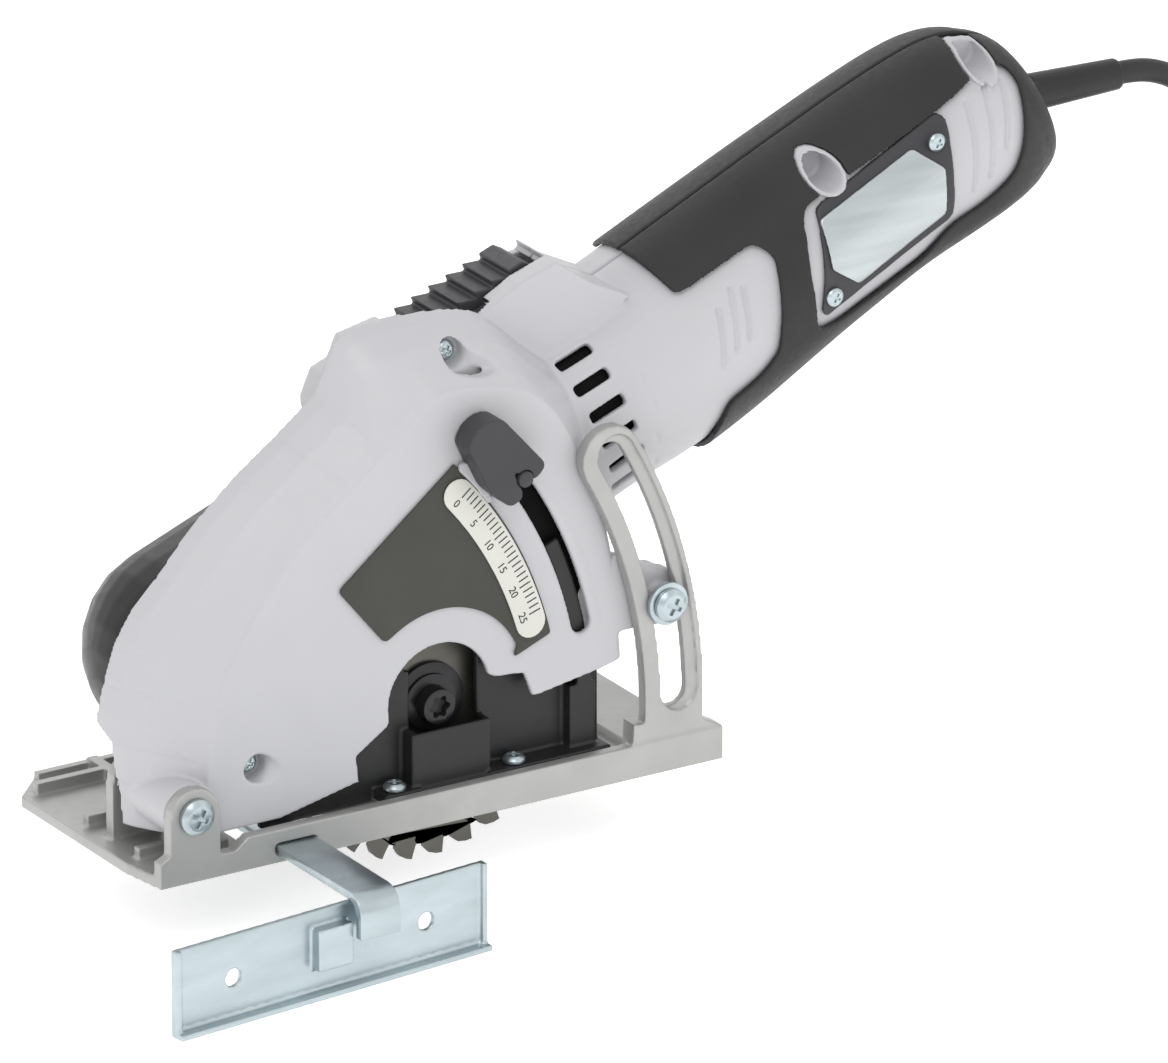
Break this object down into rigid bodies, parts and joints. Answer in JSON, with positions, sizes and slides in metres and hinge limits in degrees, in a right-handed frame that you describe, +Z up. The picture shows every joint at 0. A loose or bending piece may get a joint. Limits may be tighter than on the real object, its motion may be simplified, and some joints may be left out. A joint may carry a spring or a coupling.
{
  "type": "mini plunge circular saw",
  "caption": "Compact corded plunge-cut circular saw: tilting motor body on a slotted metal base, arc plunge guide, depth stop and parallel fence.",
  "frame": {"origin": "on the sole of the base plate, below the plunge pivot and half way across the base", "axes": "+X from the toe of the base towards the handle, +Y away from the blade side, +Z up from the sole"},
  "size_m": [0.4405, 0.1798, 0.1956],
  "materials": {
    "cast_aluminium": "cast, satin",
    "light_housing": "fine satin moulding",
    "dark_plastic": "satin moulding",
    "black_plastic": "satin moulding",
    "grip_rubber": "soft matt overmould",
    "cord_sheath": "smooth sheath",
    "zinc": "zinc plated",
    "steel": "ground",
    "dark_steel": "oiled dark",
    "copper": "wound copper",
    "carbon": "pressed carbon",
    "label": "printed label"
  },
  "bodies": {
    "base": {"base_plate": "cast_aluminium", "lower_blade_guard": "black_plastic", "guard_screw_front": "zinc", "guard_screw_rear": "zinc", "pivot_screw": "zinc", "pivot_sleeve": "steel", "return_spring": "steel", "fence_spring_clip": "steel"},
    "fence": {"fence_bar": "zinc", "fence_plate": "zinc"},
    "saw_head": {"housing_near_shell": "light_housing", "housing_far_shell": "light_housing", "gear_case": "cast_aluminium", "gear_case_cover": "cast_aluminium", "nose_cap": "black_plastic", "scale_panel": "dark_plastic", "scale_label": "label", "guide_washer": "zinc", "guide_screw": "zinc", "spindle_bearing_front": "steel", "spindle_bearing_rear": "steel", "armature_bearing_front": "steel", "armature_bearing_rear": "steel", "bearing_bulkhead": "cast_aluminium", "stator_core": "dark_steel", "stator_winding": "copper", "brush_frame": "black_plastic", "carbon_brush_near": "carbon", "carbon_brush_far": "carbon", "switch_unit": "black_plastic", "grip_overmould_near": "grip_rubber", "grip_overmould_far": "grip_rubber", "name_plate_panel": "dark_plastic", "name_plate": "zinc", "name_plate_screw_top": "zinc", "name_plate_screw_bottom": "zinc", "shell_screw_front": "zinc", "shell_screw_top": "zinc", "strain_relief": "black_plastic", "cord_lead": "cord_sheath", "cord_coil": "cord_sheath", "cord_tail": "cord_sheath", "plug_body": "black_plastic"},
    "blade_spindle": {"spindle": "steel", "spindle_gear": "steel", "inner_flange": "dark_steel", "saw_blade": "dark_steel", "outer_flange": "dark_steel", "blade_bolt": "dark_steel"},
    "idler": {"idler_gear": "steel"},
    "intermediate": {"intermediate_shaft": "steel", "bevel_gear": "steel"},
    "armature": {"armature_shaft": "steel", "armature_core": "copper", "commutator": "copper", "cooling_fan": "black_plastic"},
    "depth_stop": {"depth_stop_block": "dark_plastic", "depth_stop_pin": "dark_plastic"},
    "power_switch": {"power_switch": "dark_plastic"},
    "spindle_lock": {"spindle_lock": "dark_plastic"}
  },
  "joints": [
    {"name": "plunge", "type": "hinge", "parent": "base", "child": "saw_head", "pos_m": [0, 0, 0.0185], "axis": [0, 1, 0], "range_deg": [-17.5, 9.2]},
    {"name": "fence_slide", "type": "slide", "parent": "base", "child": "fence", "axis": [0, 1, 0], "range_m": [-0.02, 0.018]},
    {"name": "armature_spin", "type": "hinge", "parent": "saw_head", "child": "armature", "pos_m": [0.0652, 0, 0.0656], "axis": [0.9317, 0, 0.3633], "continuous": true},
    {"name": "intermediate_spin", "type": "hinge", "parent": "saw_head", "child": "intermediate", "pos_m": [0.0652, 0, 0.0656], "axis": [0, 1, 0], "continuous": true},
    {"name": "idler_spin", "type": "hinge", "parent": "saw_head", "child": "idler", "pos_m": [0.07162, 0, 0.04893], "axis": [0, 1, 0], "continuous": true},
    {"name": "spindle_spin", "type": "hinge", "parent": "saw_head", "child": "blade_spindle", "pos_m": [0.0793, 0, 0.029], "axis": [0, 1, 0], "continuous": true},
    {"name": "depth_stop_swing", "type": "hinge", "parent": "saw_head", "child": "depth_stop", "pos_m": [0, 0, 0.0185], "axis": [0, 1, 0], "range_deg": [-6, 24]},
    {"name": "switch_slide", "type": "slide", "parent": "saw_head", "child": "power_switch", "axis": [-0.9317, 0, -0.3633], "range_m": [0, 0.005]},
    {"name": "lock_press", "type": "slide", "parent": "saw_head", "child": "spindle_lock", "axis": [0, -1, 0], "range_m": [0, 0.004], "stiffness_N_per_m": 300, "springref_m": -0.002}
  ],
  "couplings": [
    {"joint": "intermediate_spin", "follows": "armature_spin", "ratio": -0.4},
    {"joint": "idler_spin", "follows": "armature_spin", "ratio": 0.25455},
    {"joint": "spindle_spin", "follows": "armature_spin", "ratio": -0.26667}
  ]
}
